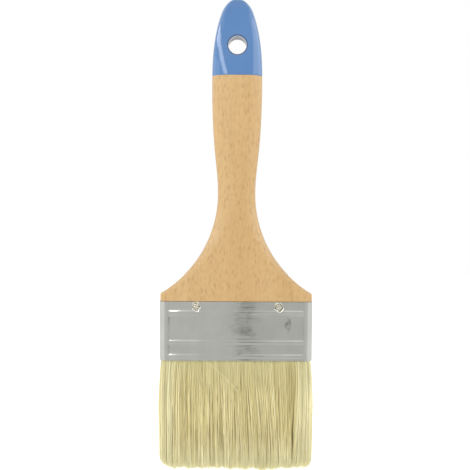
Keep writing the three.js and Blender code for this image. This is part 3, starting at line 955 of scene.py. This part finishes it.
LIGHT_DISTANCE = 700.0
SOFTBOXES = [                          # name, path of directions (azimuth, elevation), width, radiance
    ("key", [(-4, 6.5), (-30, 10), (-52, 13.5), (-85, 18), (-114, 20)], 75.0, 4.2),
    ("fill", [(38, 14), (78, 14), (120, 14)], 250.0, 1.4),
    ("low_fill", [(-55, 3), (-90, 4), (-122, 5)], 150.0, 0.6),
]
CARDS = [                              # name, left and right edge, lower and upper edge, glow
    ("dark_card_1", (6.0, 19.0), (-178.0, -171.0), 0.0),
    ("dark_card_2", (6.0, 19.0), (-201.0, -186.0), 0.0),
    ("dark_card_3", (6.0, 19.0), (-224.0, -217.0), 0.0),
    ("grey_card", (24.0, 130.0), (-300.0, -90.0), 0.42),
]
FLOOR_HALF = 3000.0
FLOOR_BELOW_TIPS = 2.5
CAMERA_DISTANCE = 600.0
CARD_Y = 10.0 - CAMERA_DISTANCE
FRAME_HEIGHT = 248.5                   # how much of the brush's middle plane the picture takes in
SENSOR = 36.0
VIEW_CENTRE = (-0.75, -99.5)
LEAN = -0.30                           # degrees that the brush leans to the right


def make_camera():
    data = bpy.data.cameras.new("camera")
    data.sensor_width = SENSOR
    data.lens = SENSOR * CAMERA_DISTANCE / FRAME_HEIGHT
    camera = bpy.data.objects.new("camera", data)
    camera.location = Vector((VIEW_CENTRE[0], -CAMERA_DISTANCE, VIEW_CENTRE[1])) * MM
    camera.rotation_euler = (math.pi / 2, math.radians(LEAN), 0)
    bpy.context.scene.collection.objects.link(camera)
    bpy.context.scene.camera = camera


def make_world():
    """White to look at. As light it is a pale tent, bright above, dimmer below and in front."""
    world = bpy.data.worlds.new("studio")
    bpy.context.scene.world = world
    world.use_nodes = True
    tree = world.node_tree
    tree.nodes.clear()

    def add(kind, **settings):
        node = tree.nodes.new(kind)
        for key, value in settings.items():
            setattr(node, key, value)
        return node

    direction = add("ShaderNodeTexCoord")
    axes = add("ShaderNodeSeparateXYZ")
    tree.links.new(direction.outputs["Generated"], axes.inputs[0])

    def fade(axis, start, end, from_value, to_value):
        node = add("ShaderNodeMapRange", interpolation_type="SMOOTHSTEP")
        values = {"From Min": start, "From Max": end, "To Min": from_value, "To Max": to_value}
        for key, value in values.items():
            node.inputs[key].default_value = value
        tree.links.new(axes.outputs[axis], node.inputs["Value"])
        return node.outputs["Result"]

    light = add("ShaderNodeBackground")
    strength = add("ShaderNodeMath", operation="MULTIPLY")
    tree.links.new(fade("Z", 0.0, 0.45, 0.60, 0.98), strength.inputs[0])
    tree.links.new(fade("Y", -0.95, -0.45, 0.78, 1.10), strength.inputs[1])
    tree.links.new(strength.outputs[0], light.inputs["Strength"])
    seen = add("ShaderNodeBackground")
    seen.inputs["Strength"].default_value = 1.0
    rays = add("ShaderNodeLightPath")
    mix = add("ShaderNodeMixShader")
    tree.links.new(rays.outputs["Is Camera Ray"], mix.inputs["Fac"])
    tree.links.new(light.outputs[0], mix.inputs[1])
    tree.links.new(seen.outputs[0], mix.inputs[2])
    out = add("ShaderNodeOutputWorld")
    tree.links.new(mix.outputs[0], out.inputs["Surface"])
    for node in (light, seen):
        node.inputs["Color"].default_value = (1, 1, 1, 1)


def direction_to(azimuth, elevation):
    """Azimuth 0 is straight out of the front face, and grows to the right as seen from there."""
    turn, rise = math.radians(azimuth), math.radians(elevation)
    return Vector((math.sin(turn) * math.cos(rise), -math.cos(turn) * math.cos(rise), math.sin(rise)))


def make_softbox(name, low_end, high_end, width, radiance):
    """A strip light that runs between two directions (azimuth, elevation) as seen from the handle's tip."""
    ends = [direction_to(*end) * LIGHT_DISTANCE for end in (low_end, high_end)]
    centre = (ends[0] + ends[1]) / 2
    facing = centre.normalized()
    along = ends[1] - ends[0]
    length = along.length
    along = (along - facing * along.dot(facing)).normalized()
    data = bpy.data.lights.new(name, "AREA")
    data.shape = "RECTANGLE"
    data.size, data.size_y = width * MM, length * MM
    data.energy = radiance * math.pi * data.size * data.size_y
    light = bpy.data.objects.new(name, data)
    axes = Matrix((along.cross(facing), along, facing)).transposed()
    light.matrix_world = Matrix.Translation(centre * MM) @ axes.to_4x4()
    bpy.context.scene.collection.objects.link(light)


def make_softboxes(name, path, width, radiance):
    """A curved strip light, as a run of straight ones along a path of directions."""
    for number, ends in enumerate(zip(path, path[1:])):
        make_softbox(f"{name}_{number + 1}", *ends, width, radiance)


def make_card(name, across, upright, glow):
    """A card beside the camera, which only reflections show."""
    (left, right), (low, high) = across, upright
    corners = [(x, CARD_Y, z) for x, z in ((left, low), (right, low), (right, high), (left, high))]
    card = add_object(name, corners, [(0, 1, 2, 3)])
    m = Nodes(name + "_paper")
    m.finish(Base_Color=(0, 0, 0, 1), Roughness=1.0, Emission_Color=(1, 1, 1, 1), Emission_Strength=glow)
    card.data.materials.append(m.material)
    for rays in ("camera", "diffuse", "shadow", "transmission", "volume_scatter"):
        setattr(card, "visible_" + rays, False)


def make_floor():
    """A white floor just below the brush, which reflections don't show."""
    z = TIPS_Z - FLOOR_BELOW_TIPS
    corners = [(x * FLOOR_HALF, y * FLOOR_HALF, z) for x, y in ((-1, -1), (1, -1), (1, 1), (-1, 1))]
    floor = add_object("floor", corners, [(0, 1, 2, 3)])
    m = Nodes("white_floor")
    tint = m.noise((2, 2, 2), 1.0)
    colour = m.ramp(tint, [(0.0, (1, 1, 1)), (1.0, (0.99, 0.99, 0.99))])
    m.finish(Base_Color=(0.5, 0.5, 0.5, 1), Roughness=1.0, Emission_Color=colour, Emission_Strength=0.9)
    floor.data.materials.append(m.material)
    floor.visible_glossy = False


# ---------------------------------------------------------------- assembly

def assemble():
    handle = make_handle()
    wear(handle, beech_material())
    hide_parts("handle")
    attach(handle, BODY)

    tip = make_dipped_tip()
    wear(tip, lacquer_material())
    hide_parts("dipped_tip")
    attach(tip, BODY)

    ferrule = make_ferrule()
    wear(ferrule, tinplate_material())
    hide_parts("ferrule")
    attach(ferrule, BODY)

    steel = nail_material()
    for name in NAILS:
        nail = make_nail(name)
        wear(nail, steel)
        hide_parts(name)
        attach(nail, BODY)

    bristle = bristle_material()
    for seed, (row, place) in enumerate(ROWS.items(), start=BRISTLE_SEED):
        strands = make_bristles(f"bristles_{row}", place, seed)
        wear(strands, bristle)
        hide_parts(f"bristle_root_{row}", f"bristle_tuft_{row}")
        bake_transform(strands)

    wear(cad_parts["resin_set"], resin_material())
    spacer = spacer_material()
    for name in ("spacer_front", "spacer_back"):
        wear(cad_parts[name], spacer)


make_camera()
make_world()
make_floor()
for card in CARDS:
    make_card(*card)
for softbox in SOFTBOXES:
    make_softboxes(*softbox)
bpy.context.scene.view_settings.view_transform = "Standard"
assemble()
